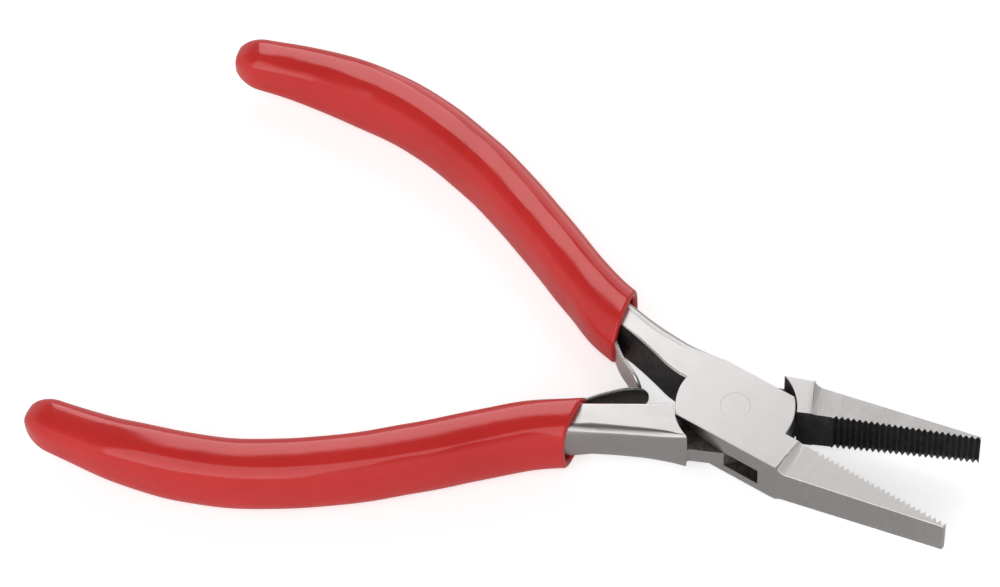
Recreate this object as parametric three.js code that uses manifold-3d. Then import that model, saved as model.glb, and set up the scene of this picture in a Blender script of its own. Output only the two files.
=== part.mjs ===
// Spring-opened flat nose pliers with a box joint, for jewellery work. Millimetres, +Z up.
//
// +X runs along the bisector of the two halves, towards the jaws. The origin is on the joint's
// axis, on its bottom face. The stored pose is the relaxed one, with the jaws sprung open.
//
// Each half is drawn in its own flat frame: u runs towards the jaw, v towards the side on which
// its handle leaves the joint, and z = 0 is the middle of the thickness. The gripping line is
// v = 0, the jaw lies below it and the handle above it. The second half is the mirror image.

import * as THREE from 'three';
import { LoftGeometry } from 'three/addons/geometries/LoftGeometry.js';
import { mergeVertices } from 'three/addons/utils/BufferGeometryUtils.js';
import Module from 'manifold-3d';

const wasm = await Module();
wasm.setup();

// ---------- driving dimensions ----------

const THICKNESS = 7.5; // joint and necks
const OPEN_HALF_ANGLE = THREE.MathUtils.degToRad(12.4); // each half, away from the bisector

const BOX_RADIUS = 8.15; // round ends of the two cheeks
const BOX_HALF_WIDTH = 5.65;
const WEB_HALF_WIDTH = 5.95; // the second half stands a little proud of the box
const SHOULDER_RADIUS = 8.35; // hollow shoulders of the second half, which run round the cheeks
const SLOT_RADIUS = 9.2; // end walls of the slot
const SLOT_TOP = 0.1 * THICKNESS; // above the middle
const SLOT_BOTTOM = -0.3 * THICKNESS;
const WEB_CLEARANCE = 0.12; // above and below the web
const CHEEK_LIP = 0.75; // what a filed slope leaves of the upper cheek, where the web comes out
const CHEEK_SLOPE_END = 0.7; // along u

const PIN_RADIUS = 2;
const PIN_GAP = 0.06;

const TIP = 33.3; // from the joint's axis
const TOOTH_PITCH = 0.8;
const TOOTH_COUNT = 25;
const TOOTH_DEPTH = 0.6;
const LAND_DROP = 0.2; // the plain land sits this far below the tooth tips
const BITE_GAP = 0.02; // each set of tooth tips stops this far short of the gripping line
const STEP_OUTER = 10.1; // where the ground step crosses the outer edge
const STEP_INNER = 10.6;
const JAW_ROOT_HALF = 3.62; // half thickness of the jaw at the step, at the bite
const JAW_OUTER_HALF = 2.65; // and at the outer edge
const JAW_OUTER_HALF_BELOW = 3.3; // the lower side is ground less
const JAW_TIP_HALF = 2.78; // at the tip, at the bite
const TIP_WIDTH = 0.7;
const ROOT_ROUND = 1.2; // length of the soft corner where the box's side turns into the jaw
const STEP_FILLET = 1.5; // radius of the wheel-ground hollow at the step

const EDGE_BREAK = 0.15; // along the neck's inner edges
const TANG_HALF_WIDTH = 2.6;
const TANG_END = 0.93; // as a fraction of the handle line
const GRIP_HALF_WIDTH = 3.9;
const GRIP_END_HALF_WIDTH = 3.1;
const GRIP_HALF_THICKNESS = 5.1;
const GRIP_END_HALF_THICKNESS = 3.5;
const GRIP_END_RADIUS = 4.4;
const GRIP_ROUNDNESS = 0.66; // 1 is an ellipse, 0 a rectangle
const OUTER_FLAP_SWELL = 0.32; // each grip bulges over its leaf's root, on its inner side
const INNER_FLAP_SWELL = 0.16;
const FIT = 0.3; // gap round a piece that sits inside or against another
const LEAF_FIT = 0.15; // and round the leaf's root, where the grip is thin

const SPRING_THICKNESS = 0.55;
const SPRING_WIDTH = 4.5;
const RIVET_RADIUS = 0.9;

// middle line of the handle, from the neck to the end of the grip
const HANDLE = new THREE.SplineCurve([
	new THREE.Vector2(-16.5, 4.4),
	new THREE.Vector2(-21, 5.15),
	new THREE.Vector2(-28, 6.9),
	new THREE.Vector2(-40.8, 12.2),
	new THREE.Vector2(-53.7, 16.7),
	new THREE.Vector2(-67.3, 19),
	new THREE.Vector2(-81.5, 17.8),
	new THREE.Vector2(-96.1, 13.8),
]);

// middle lines of the leaf springs, from the end at the rivet to the free tip
const SPRING_ROOT = [
	new THREE.Vector2(-29.6, 4.05),
	new THREE.Vector2(-25.1, 2.72),
	new THREE.Vector2(-22, 2),
];
const OUTER_SPRING = new THREE.SplineCurve([
	...SPRING_ROOT,
	new THREE.Vector2(-20.3, 0.95),
	new THREE.Vector2(-18.4, -0.5),
	new THREE.Vector2(-16.7, -1.45),
	new THREE.Vector2(-13.45, -3.05),
]);
const INNER_SPRING = new THREE.SplineCurve([
	...SPRING_ROOT,
	new THREE.Vector2(-20.3, 1.05),
	new THREE.Vector2(-18.4, -0.1),
	new THREE.Vector2(-15.2, -1.55),
	new THREE.Vector2(-12.2, -2.15),
]);

// the neck as stations along u: inner edge, outer edge of the flat face, widest point, and on the
// second half the crease where the upper face breaks towards the outer side
const OUTER_NECK = [
	{ u: -5.5, inner: 1, flat: 5.45, widest: 5.65 },
	{ u: -8.15, inner: 0.2, flat: 5, widest: 5.95 },
	{ u: -11.1, inner: 0.44, flat: 4.3, widest: 6.25 },
	{ u: -13.4, inner: 1.1, flat: 4.25, widest: 6.45 },
	{ u: -15.9, inner: 1.8, flat: 4.35, widest: 6.7 },
	{ u: -18.4, inner: 2.4, flat: 4.8, widest: 7 },
];
const INNER_NECK = [
	{ u: -5.5, inner: 1.5, flat: 5.9, widest: 6.1, crease: 6 },
	{ u: -8.4, inner: 0.84, flat: 5.3, widest: 6.35, crease: 5.5 },
	{ u: -11.4, inner: 1.4, flat: 4.8, widest: 6.55, crease: 5.45 },
	{ u: -14.1, inner: 1.8, flat: 4.7, widest: 6.75, crease: 5.55 },
	{ u: -16.8, inner: 2.2, flat: 4.8, widest: 6.95, crease: 5.65 },
	{ u: -18.8, inner: 2.5, flat: 4.95, widest: 7.15, crease: 5.75 },
];
// from the crease to the widest point: share of the way out, depth below the upper face
const CREASED_SIDE = [
	[0, 0],
	[0.42, 0.17],
	[0.8, 0.34],
	[0.92, 0.52],
	[0.98, 0.85],
	[1, 1.35],
	[1, 2.2],
	[1, 3.3],
];

// ---------- materials ----------

const steel = new THREE.MeshStandardMaterial({ color: 0xc9c5c4, roughness: 0.38, metalness: 1 });
const pinSteel = new THREE.MeshStandardMaterial({ color: 0xc4c1c0, roughness: 0.35, metalness: 1 });
const springSteel = new THREE.MeshStandardMaterial({ color: 0x8f8a86, roughness: 0.4, metalness: 1 });
const vinyl = new THREE.MeshStandardMaterial({ color: 0xc32323, roughness: 0.28, metalness: 0 });

// ---------- helpers ----------

// six times the volume of a closed mesh, positive when its faces point out
function signedVolume(position, index) {
	const a = new THREE.Vector3();
	const b = new THREE.Vector3();
	const c = new THREE.Vector3();
	let volume = 0;
	for (let i = 0; i < index.length; i += 3) {
		a.fromBufferAttribute(position, index[i]);
		b.fromBufferAttribute(position, index[i + 1]);
		c.fromBufferAttribute(position, index[i + 2]);
		volume += a.dot(b.cross(c));
	}
	return volume;
}

// a closed three.js geometry as a solid that can be joined and cut
function solid(geometry) {
	const bare = new THREE.BufferGeometry();
	bare.setAttribute('position', geometry.getAttribute('position'));
	bare.setIndex(geometry.index);
	const merged = mergeVertices(bare, 1e-4);
	const position = merged.getAttribute('position');
	const triangles = Uint32Array.from(merged.index.array);
	if (signedVolume(position, triangles) < 0) {
		triangles.reverse();
	}
	return new wasm.Manifold(new wasm.Mesh({
		numProp: 3,
		vertProperties: Float32Array.from(position.array),
		triVerts: triangles,
	}));
}

// a solid back as a three.js geometry
function geometryOf(body) {
	const mesh = body.getMesh();
	const geometry = new THREE.BufferGeometry();
	geometry.setAttribute('position', new THREE.BufferAttribute(mesh.vertProperties, 3));
	geometry.setIndex(new THREE.BufferAttribute(mesh.triVerts, 1));
	geometry.computeVertexNormals();
	return geometry;
}

// a flat outline raised from z = low to z = high
function slab(shape, low, high) {
	const geometry = new THREE.ExtrudeGeometry(shape, {
		depth: high - low,
		bevelEnabled: false,
		curveSegments: 16,
	});
	geometry.translate(0, 0, low);
	return solid(geometry);
}

// a round disc about the joint's axis, from z = low to z = high
function disc(radius, low, high) {
	const geometry = new THREE.CylinderGeometry(radius, radius, high - low, 72);
	geometry.rotateX(Math.PI / 2);
	geometry.translate(0, 0, (low + high) / 2);
	return solid(geometry);
}

// ---------- jaws and box ----------

// the point of a circle about the joint whose height above the gripping line is v
function onCircle(radius, v, side) {
	return new THREE.Vector2(side * Math.sqrt(radius * radius - v * v), v);
}

// the gripping edge from the tip back to the joint: serrations, then a plain land
function addBite(shape) {
	for (let i = 0; i < TOOTH_COUNT; i++) {
		const crest = TIP - i * TOOTH_PITCH;
		shape.lineTo(crest, -BITE_GAP);
		shape.lineTo(crest - TOOTH_PITCH / 2, -TOOTH_DEPTH);
	}
	const last = TIP - TOOTH_COUNT * TOOTH_PITCH;
	shape.lineTo(last, -BITE_GAP);
	shape.lineTo(last - TOOTH_PITCH / 4, -LAND_DROP);
}

// plan of the jaw and of the joint's block, without the neck
function blockShape(halfWidth) {
	const biteCorner = onCircle(BOX_RADIUS, -LAND_DROP, 1);
	const farCorner = onCircle(BOX_RADIUS, halfWidth, 1);
	const nearCorner = onCircle(BOX_RADIUS, -halfWidth, -1);
	const shape = new THREE.Shape();
	const root = new THREE.Vector2(STEP_OUTER, -BOX_HALF_WIDTH);
	const side = new THREE.Vector2(-nearCorner.x, -halfWidth);
	const tip = new THREE.Vector2(TIP, -TIP_WIDTH);
	const arrive = root.clone().lerp(side, ROOT_ROUND / root.distanceTo(side));
	const leave = root.clone().lerp(tip, ROOT_ROUND / root.distanceTo(tip));
	shape.moveTo(arrive.x, arrive.y);
	shape.quadraticCurveTo(root.x, root.y, leave.x, leave.y);
	shape.lineTo(tip.x, tip.y);
	addBite(shape);
	shape.lineTo(biteCorner.x, biteCorner.y);
	shape.absarc(0, 0, BOX_RADIUS, biteCorner.angle() - 2 * Math.PI, farCorner.angle(), false);
	shape.lineTo(-5.6, halfWidth);
	shape.lineTo(-BOX_RADIUS, 0.9);
	shape.absarc(0, 0, BOX_RADIUS, Math.PI, nearCorner.angle(), false);
	shape.lineTo(-nearCorner.x, -halfWidth);
	return shape;
}

// what is ground away above the jaw: the floor slopes down to the outer edge and to the tip,
// and the end wall is a shallow curve across the jaw
function jawRelief(outerHalf) {
	const beyond = 2;
	const line = new THREE.QuadraticBezierCurve(
		new THREE.Vector2(STEP_OUTER + 0.15, -BOX_HALF_WIDTH - beyond),
		new THREE.Vector2(STEP_OUTER - 0.1, -BOX_HALF_WIDTH / 2),
		new THREE.Vector2(STEP_INNER, beyond),
	);
	const slopeAcross = (JAW_ROOT_HALF - outerHalf) / BOX_HALF_WIDTH;
	const slopeAlong = (JAW_ROOT_HALF - JAW_TIP_HALF) / (TIP - STEP_INNER);
	const face = (u, v) => JAW_ROOT_HALF + slopeAcross * v - slopeAlong * (u - STEP_INNER);
	const wheel = wasm.Manifold.sphere(STEP_FILLET, 72);
	const shape = new THREE.Shape();
	let hollow = null;
	let before = null;
	const steps = 8;
	for (let i = 0; i <= steps; i++) {
		const { x, y } = line.getPoint(i / steps);
		const wall = Math.max(THICKNESS / 2 - face(x, y), 0.1);
		const u = x + Math.sqrt(wall * (2 * STEP_FILLET - wall));
		const here = wheel.translate([u, y, face(u, y) + STEP_FILLET]);
		if (before) {
			const stroke = wasm.Manifold.hull([before, here]);
			hollow = hollow ? hollow.add(stroke) : stroke;
			shape.lineTo(u, y);
		} else {
			shape.moveTo(u, y);
		}
		before = here;
	}
	shape.lineTo(TIP + beyond, beyond);
	shape.lineTo(TIP + beyond, -BOX_HALF_WIDTH - beyond);
	const prism = slab(shape, 0, THICKNESS);
	const size = 80;
	const above = new THREE.BoxGeometry(size, size, size);
	above.translate(0, 0, size / 2);
	above.rotateX(Math.atan(slopeAcross));
	above.rotateY(Math.atan(slopeAlong));
	above.translate(STEP_INNER, 0, JAW_ROOT_HALF);
	return prism.intersect(solid(above)).add(hollow);
}

// the same cut on the underside
function jawReliefBelow() {
	const geometry = geometryOf(jawRelief(JAW_OUTER_HALF_BELOW));
	geometry.scale(1, 1, -1);
	return solid(geometry);
}

// ---------- neck and tang ----------

// unit vector across the handle at t, pointing to its outer side
function acrossHandle(t) {
	const along = HANDLE.getTangentAt(t);
	return new THREE.Vector2(along.y, -along.x);
}

// one cross section of the steel core: flat inner side, flat faces and crowned outer side, whose
// upper half is creased where a crease is given
function coreSection(foot, across, flat, width, half, chamfer, grow, crease) {
	const points = [];
	const add = (distance, z) => {
		points.push(new THREE.Vector3(foot.x + across.x * distance, foot.y + across.y * distance, z));
	};
	add(-grow, half + grow - chamfer);
	add(chamfer - grow, half + grow);
	const turns = 15;
	for (let i = 0; i <= turns; i++) {
		const angle = Math.PI / 2 - (Math.PI * i) / turns;
		if (crease !== undefined && i < CREASED_SIDE.length) {
			const [share, depth] = CREASED_SIDE[i];
			add(crease + (width + grow - crease) * share, half + grow - depth);
			continue;
		}
		add(flat + (width - flat + grow) * Math.cos(angle), (half + grow) * Math.sin(angle));
	}
	add(chamfer - grow, -half - grow);
	add(-grow, chamfer - half - grow);
	return points;
}

// the steel core from the joint through the neck to the end of the tang
function core(neck, crown, grow) {
	const sections = [];
	const through = (key) => new THREE.SplineCurve(neck.map((n) => new THREE.Vector2(n.u, n[key])));
	const inside = through('inner');
	const edge = through('flat');
	const outside = through('widest');
	const creaseLine = neck[0].crease === undefined ? undefined : through('crease');
	const perStation = 3;
	const last = perStation * (neck.length - 1);
	for (let i = 0; i <= last; i++) {
		const t = i / last;
		const foot = inside.getPoint(t);
		const flat = edge.getPoint(t).y - foot.y;
		const width = outside.getPoint(t).y - foot.y;
		const across = new THREE.Vector2(0, 1);
		const crease = creaseLine && creaseLine.getPoint(t).y - foot.y;
		sections.push(coreSection(foot, across, flat, width, THICKNESS / 2, EDGE_BREAK, grow, crease));
	}
	const steps = 20;
	const first = 0.088;
	const end = TANG_END + grow / HANDLE.getLength();
	for (let i = 0; i <= steps; i++) {
		const t = THREE.MathUtils.lerp(first, end, i / steps);
		const ending = THREE.MathUtils.smoothstep(t, 0.7, 1);
		const leaving = 1 - THREE.MathUtils.smoothstep(t, first, 0.25);
		const halfWidth = TANG_HALF_WIDTH - 1.1 * ending - 0.25 * leaving;
		const half = THICKNESS / 2 - 1.7 * ending;
		const chamfer = THREE.MathUtils.lerp(1, EDGE_BREAK, leaving);
		const across = acrossHandle(t);
		const foot = HANDLE.getPointAt(t).addScaledVector(across, -halfWidth);
		const flat = 2 * halfWidth * THREE.MathUtils.lerp(0.75, crown, leaving);
		sections.push(coreSection(foot, across, flat, 2 * halfWidth, half, chamfer, grow));
	}
	return solid(new LoftGeometry(sections, { capStart: true, capEnd: true }));
}

// ---------- the two forged halves ----------

// the slotted half: the second half's web passes through its box
function slottedHalf() {
	const half = THICKNESS / 2;
	const slope = new THREE.Shape();
	slope.moveTo(CHEEK_SLOPE_END, SLOT_TOP - 0.1);
	slope.lineTo(CHEEK_SLOPE_END, SLOT_TOP);
	slope.lineTo(-BOX_RADIUS + 2, half - CHEEK_LIP);
	slope.lineTo(-BOX_RADIUS - 2, half - CHEEK_LIP);
	slope.lineTo(-BOX_RADIUS - 2, SLOT_TOP - 0.1);
	const filed = new THREE.ExtrudeGeometry(slope, { depth: 4, bevelEnabled: false });
	filed.rotateX(Math.PI / 2);
	filed.translate(0, -3, 0);
	return slab(blockShape(BOX_HALF_WIDTH), -half, half)
		.add(core(OUTER_NECK, 0.55, 0))
		.subtract(disc(SLOT_RADIUS, SLOT_BOTTOM, SLOT_TOP))
		.subtract(solid(filed))
		.subtract(jawRelief(JAW_OUTER_HALF))
		.subtract(jawReliefBelow())
		.subtract(disc(PIN_RADIUS + PIN_GAP, -half - 1, half + 1))
		.subtract(springRivet(0.1));
}

// a three-cornered piece cut off the web, so that it stays thin beside the other half's posts
function webCorner(side) {
	const shape = new THREE.Shape();
	shape.moveTo(-0.7 * side, 5.95 * side);
	shape.lineTo(8.6 * side, 1.95 * side);
	shape.lineTo(8.6 * side, 8 * side);
	shape.lineTo(-0.7 * side, 8 * side);
	return slab(shape, -THICKNESS, THICKNESS);
}

// the second half: a thin web between its neck and its jaw, with hollow shoulders at both ends
function webHalf() {
	const half = THICKNESS / 2;
	return slab(blockShape(WEB_HALF_WIDTH), -half, half)
		.add(core(INNER_NECK, 0.72, 0))
		.subtract(disc(SHOULDER_RADIUS, SLOT_TOP - WEB_CLEARANCE, half + 1))
		.subtract(disc(SHOULDER_RADIUS, -half - 1, SLOT_BOTTOM + WEB_CLEARANCE))
		.subtract(webCorner(1))
		.subtract(webCorner(-1))
		.subtract(jawRelief(JAW_OUTER_HALF))
		.subtract(jawReliefBelow())
		.subtract(disc(PIN_RADIUS + PIN_GAP, -half - 1, half + 1))
		.subtract(springRivet(0.1));
}

function jointPin() {
	return disc(PIN_RADIUS, -THICKNESS / 2, THICKNESS / 2);
}

// ---------- springs and their rivets ----------

// the leaf's plan, with a clearance on the side next to the tang and one on the side away from it
function springShape(line, nextToTang, away) {
	const steps = 24;
	const near = SPRING_THICKNESS / 2 + nextToTang;
	const far = SPRING_THICKNESS / 2 + away;
	const points = [];
	for (let i = 0; i <= 2 * steps + 1; i++) {
		const back = i > steps;
		const t = (back ? 2 * steps + 1 - i : i) / steps;
		const along = line.getTangentAt(t);
		const across = new THREE.Vector2(-along.y, along.x).multiplyScalar(back ? -far : near);
		points.push(line.getPointAt(t).add(across));
	}
	return new THREE.Shape(points);
}

function springLeaf(line) {
	return slab(springShape(line, 0, 0), -SPRING_WIDTH / 2, SPRING_WIDTH / 2).subtract(springRivet(0.1));
}

// a pin across the handle, from the leaf's inner face almost to the tang's outer side
function springRivet(grow) {
	const t = 0.135;
	const low = -TANG_HALF_WIDTH - FIT - SPRING_THICKNESS + 0.15 - 6 * grow;
	const high = TANG_HALF_WIDTH - 0.2 + 10 * grow;
	const across = acrossHandle(t);
	const centre = HANDLE.getPointAt(t).addScaledVector(across, (low + high) / 2);
	const radius = RIVET_RADIUS + grow;
	const geometry = new THREE.CylinderGeometry(radius, radius, high - low, 24);
	geometry.rotateZ(across.angle() - Math.PI / 2);
	geometry.translate(centre.x, centre.y, 0);
	return solid(geometry);
}

// ---------- grips ----------

// one cross section of the dipped grip: a rectangle with full round corners, scaled to round
function gripSection(t, round, flapSwell) {
	const sides = 20;
	const ending = THREE.MathUtils.smoothstep(t, 0.72, 1);
	const rim = 1 - THREE.MathUtils.smoothstep(t, 0.06, 0.16);
	const width = THREE.MathUtils.lerp(GRIP_HALF_WIDTH, GRIP_END_HALF_WIDTH, ending) * round;
	const thick = THREE.MathUtils.lerp(GRIP_HALF_THICKNESS, GRIP_END_HALF_THICKNESS, ending) * round;
	const across = acrossHandle(t);
	const middle = HANDLE.getPointAt(t);
	const points = [];
	for (let i = 0; i < sides; i++) {
		const angle = (-(i + 0.5) / sides) * 2 * Math.PI;
		const c = Math.cos(angle);
		const s = Math.sin(angle);
		const swell = c < 0 ? 1 + flapSwell * rim : 1;
		const side = Math.sign(c) * Math.abs(c) ** GRIP_ROUNDNESS * width * swell;
		const z = Math.sign(s) * Math.abs(s) ** GRIP_ROUNDNESS * thick;
		points.push(new THREE.Vector3(middle.x + across.x * side, middle.y + across.y * side, z));
	}
	return points;
}

// the grip's outside, from in front of its rim to its rounded end
function gripOutside(flapSwell) {
	const sections = [];
	const steps = 28;
	const turn = 1 - GRIP_END_RADIUS / HANDLE.getLength();
	for (let i = 0; i <= steps; i++) {
		sections.push(gripSection((turn * i) / steps, 1, flapSwell));
	}
	for (const degrees of [22, 42, 60, 76]) {
		const angle = THREE.MathUtils.degToRad(degrees);
		const t = THREE.MathUtils.lerp(turn, 1, Math.sin(angle));
		sections.push(gripSection(t, Math.cos(angle), flapSwell));
	}
	return solid(new LoftGeometry(sections, { capStart: true, capEnd: true }));
}

// everything in front of the grip's slanting rim
function beforeRim() {
	const lip = new THREE.Vector2(-19.9, 0.4);
	const heel = new THREE.Vector2(-22, 9);
	const slant = heel.clone().sub(lip).angle() - Math.PI / 2;
	const geometry = new THREE.BoxGeometry(20, 60, 20);
	geometry.translate(10, 0, 0);
	geometry.rotateZ(slant);
	geometry.translate(lip.x, lip.y, 0);
	return solid(geometry);
}

// the grip is open at the rim, and hollow where the tang and the leaf's root lie in it
function grip(neck, crown, line, flapSwell) {
	const high = SPRING_WIDTH / 2 + FIT;
	const channel = slab(springShape(line, 2 * FIT, LEAF_FIT), -high, high);
	return gripOutside(flapSwell)
		.subtract(core(neck, crown, FIT))
		.subtract(channel)
		.subtract(beforeRim());
}

// ---------- the assembly ----------

function mirrored(body) {
	const geometry = geometryOf(body);
	geometry.scale(1, -1, 1);
	return solid(geometry);
}

function addPiece(parent, name, body, material) {
	const mesh = new THREE.Mesh(geometryOf(body), material);
	mesh.name = name;
	parent.add(mesh);
}

const outer = new THREE.Group();
outer.rotation.z = -OPEN_HALF_ANGLE;
addPiece(outer, 'outer_half', slottedHalf(), steel);
addPiece(outer, 'joint_pin', jointPin(), pinSteel);
addPiece(outer, 'outer_leaf_spring', springLeaf(OUTER_SPRING), springSteel);
addPiece(outer, 'outer_spring_rivet', springRivet(0), pinSteel);
const outerGrip = grip(OUTER_NECK, 0.55, OUTER_SPRING, OUTER_FLAP_SWELL);
addPiece(outer, 'outer_grip', outerGrip, vinyl);

const inner = new THREE.Group();
inner.rotation.z = OPEN_HALF_ANGLE;
addPiece(inner, 'inner_half', mirrored(webHalf()), steel);
addPiece(inner, 'inner_leaf_spring', mirrored(springLeaf(INNER_SPRING)), springSteel);
addPiece(inner, 'inner_spring_rivet', mirrored(springRivet(0)), pinSteel);
const innerGrip = grip(INNER_NECK, 0.72, INNER_SPRING, INNER_FLAP_SWELL);
addPiece(inner, 'inner_grip', mirrored(innerGrip), vinyl);

const pliers = new THREE.Group();
pliers.position.z = THICKNESS / 2;
pliers.add(outer, inner);

export default pliers;
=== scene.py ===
# %% [markdown]
# # Flat nose pliers with a box joint
#
# A small pair of pliers for jewellery work: two forged steel halves that cross in a box joint, two
# leaf springs that push the handles apart, and two grips made by dipping the handles in red vinyl.
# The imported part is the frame. It says where everything is, and the cells below add what makes it
# look like steel and vinyl: soft edges, rolled rims, grinding lines, black forging scale.

# %% The frame
import math

import bmesh
import bpy
import mathutils
import numpy as np
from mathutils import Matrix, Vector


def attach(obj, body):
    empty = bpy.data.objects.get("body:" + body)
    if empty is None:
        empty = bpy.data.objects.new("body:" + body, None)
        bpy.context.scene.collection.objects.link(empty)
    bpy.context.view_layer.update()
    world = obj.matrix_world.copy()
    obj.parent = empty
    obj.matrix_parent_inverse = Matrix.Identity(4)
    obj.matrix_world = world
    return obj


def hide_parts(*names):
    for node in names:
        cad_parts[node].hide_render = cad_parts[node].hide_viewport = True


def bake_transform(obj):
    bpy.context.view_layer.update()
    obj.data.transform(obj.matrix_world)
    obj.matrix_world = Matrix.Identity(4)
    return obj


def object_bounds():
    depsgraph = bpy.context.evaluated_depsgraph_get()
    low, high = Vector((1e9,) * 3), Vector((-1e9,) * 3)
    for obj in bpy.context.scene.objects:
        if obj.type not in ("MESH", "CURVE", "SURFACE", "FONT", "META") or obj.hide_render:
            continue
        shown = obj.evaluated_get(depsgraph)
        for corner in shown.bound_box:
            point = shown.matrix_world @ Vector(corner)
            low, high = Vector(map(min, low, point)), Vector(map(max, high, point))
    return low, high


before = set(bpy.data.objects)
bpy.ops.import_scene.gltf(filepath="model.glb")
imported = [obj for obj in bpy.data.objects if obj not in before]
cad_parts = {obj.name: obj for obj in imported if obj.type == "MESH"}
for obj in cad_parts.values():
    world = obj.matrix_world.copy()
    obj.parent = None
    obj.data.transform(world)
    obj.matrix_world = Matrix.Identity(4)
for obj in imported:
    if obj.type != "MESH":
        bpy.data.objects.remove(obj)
cad_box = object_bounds()
print("nodes:", ", ".join(sorted(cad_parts)))

# %% [markdown]
# ## Working in each half's own flat frame
#
# A maker draws one half lying straight: u runs towards the jaw, v towards that half's handle, and z
# is the height above the middle of its thickness, all in millimetres. In the object the first half
# is turned one way about the pin and the second, its mirror image, the other way. Every shape below
# is worked out in that flat frame and then placed by one function. Parent objects could do the same
# turning, but a piece whose place is in its mesh stays at the origin, where patterns keep still.

# %% From the flat frame to the object
MM = 0.001
OPEN_HALF_ANGLE = math.radians(12.4)
MID_HEIGHT = 3.75  # of the forgings, above the lower face
THICKNESS = 7.5
SLOTTED, WEB = 1, -1  # the two sides of the object, by the side that their handle is on
COS, SIN = math.cos(OPEN_HALF_ANGLE), math.sin(OPEN_HALF_ANGLE)


def placed(flat, side):
    """Flat-frame millimetres to object metres: a turn about the pin by the open half angle, with y
    changed in sign for the web side."""
    u, v, z = flat[..., 0], flat[..., 1], flat[..., 2]
    return MM * np.stack([COS * u + SIN * v, side * (COS * v - SIN * u), z + MID_HEIGHT], axis=-1)


def flattened(points, side):
    """The same the other way round, for reading a forging's faces in its own flat frame."""
    x, y, z = points[..., 0] / MM, side * points[..., 1] / MM, points[..., 2] / MM
    return np.stack([COS * x - SIN * y, SIN * x + COS * y, z - MID_HEIGHT], axis=-1)


def smooth(x, low, high):
    """Rises from 0 at low to 1 at high, level at both ends: 3 t squared less 2 t cubed."""
    t = np.clip((x - low) / (high - low), 0, 1)
    return t * t * (3 - 2 * t)


print("each half is turned", round(math.degrees(OPEN_HALF_ANGLE), 1), "degrees from the middle line")

# %% [markdown]
# ## Lines and skins
#
# The handles and the springs follow curved lines, and their surfaces are skins over a grid of points.
# Blender's own curves with a bevel could make both, but a grid lets the section change its shape
# along the line, as a dipped grip does, and its points come out of a few whole-array sums.

# %% Smooth lines through given points
SAMPLES = 4001  # fine steps along a line, for measuring its length


def along_line(points, shares):
    """Places and directions at shares of the length of a smooth curve through the points, and that
    length. Between two points it is the cubic whose slope at each is half the step between that
    point's neighbours, which is a Catmull-Rom curve."""
    p = np.array(points, float)
    last = len(p) - 1
    fine = np.linspace(0, last, SAMPLES)
    i = np.minimum(fine.astype(int), last - 1)
    w = (fine - i)[:, None]
    start, end = p[i], p[i + 1]
    leave = (end - p[np.maximum(i - 1, 0)]) / 2
    arrive = (p[np.minimum(i + 2, last)] - start) / 2
    cubic = 2 * start - 2 * end + leave + arrive
    square = 3 * end - 3 * start - 2 * leave - arrive
    line = ((cubic * w + square) * w + leave) * w + start
    run = np.concatenate([[0], np.cumsum(np.linalg.norm(np.diff(line, axis=0), axis=1))])
    slope = np.gradient(line, run, axis=0)
    at = np.clip(shares, 0, 1) * run[-1]
    place = np.stack([np.interp(at, run, line[:, k]) for k in (0, 1)], axis=-1)
    direction = np.stack([np.interp(at, run, slope[:, k]) for k in (0, 1)], axis=-1)
    return place, direction / np.linalg.norm(direction, axis=-1, keepdims=True), run[-1]


HANDLE = [(-16.5, 4.4), (-21, 5.15), (-28, 6.9), (-40.8, 12.2), (-53.7, 16.7), (-67.3, 19),
          (-81.5, 17.8), (-96.1, 13.8)]
HANDLE_LENGTH = along_line(HANDLE, np.array([0.0]))[2]
print("handle line:", round(HANDLE_LENGTH, 1), "mm")

# %% A skin over a grid of points
def skin(name, rows):
    """A mesh over a grid of points, rows by columns. Each point joins the next in its row and in
    the next row, each row closes on itself, and each end row is closed by a fan to its middle."""
    count, around = rows.shape[:2]
    number = np.arange(count * around).reshape(count, around)
    a, b = number[:-1], number[1:]
    quads = np.stack([a, np.roll(a, -1, axis=1), np.roll(b, -1, axis=1), b], axis=-1).reshape(-1, 4)
    points, faces = [rows.reshape(-1, 3)], quads.tolist()
    for row, ring in ((rows[0], number[0][::-1]), (rows[-1], number[-1])):
        middle = sum(len(p) for p in points)
        points.append(row.mean(axis=0)[None])
        faces += np.stack([ring, np.roll(ring, -1), np.full(around, middle)], axis=-1).tolist()
    mesh = bpy.data.meshes.new(name)
    mesh.from_pydata(np.concatenate(points), [], faces)
    outwards(mesh)
    piece = bpy.data.objects.new(name, mesh)
    bpy.context.collection.objects.link(piece)
    return piece


def outwards(mesh):
    """Turns every face of a closed mesh the other way if its volume, a sum over faces of the
    product of centre, normal and area, comes out negative."""
    count = len(mesh.polygons)
    centre, normal, area = np.empty(count * 3), np.empty(count * 3), np.empty(count)
    mesh.polygons.foreach_get("center", centre)
    mesh.polygons.foreach_get("normal", normal)
    mesh.polygons.foreach_get("area", area)
    if (centre.reshape(-1, 3) * normal.reshape(-1, 3)).sum(axis=1) @ area < 0:
        mesh.flip_normals()
    mesh.shade_smooth()


# %% [markdown]
# ## The grips
#
# Dipped vinyl has no corners: it flows over the tang, thins on the edges and rolls into a soft lip
# where the dip stops. Near the lip it also runs over the root of the leaf spring, as a flap that is
# narrower than the tang, and a drip dries to a small point at the end. A box with a subdivision
# surface would give the roundness but not the slanted lip. So the grip is one surface of two values,
# the share of the handle's length and the angle round it, with a second one inside it for the bore.

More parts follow.
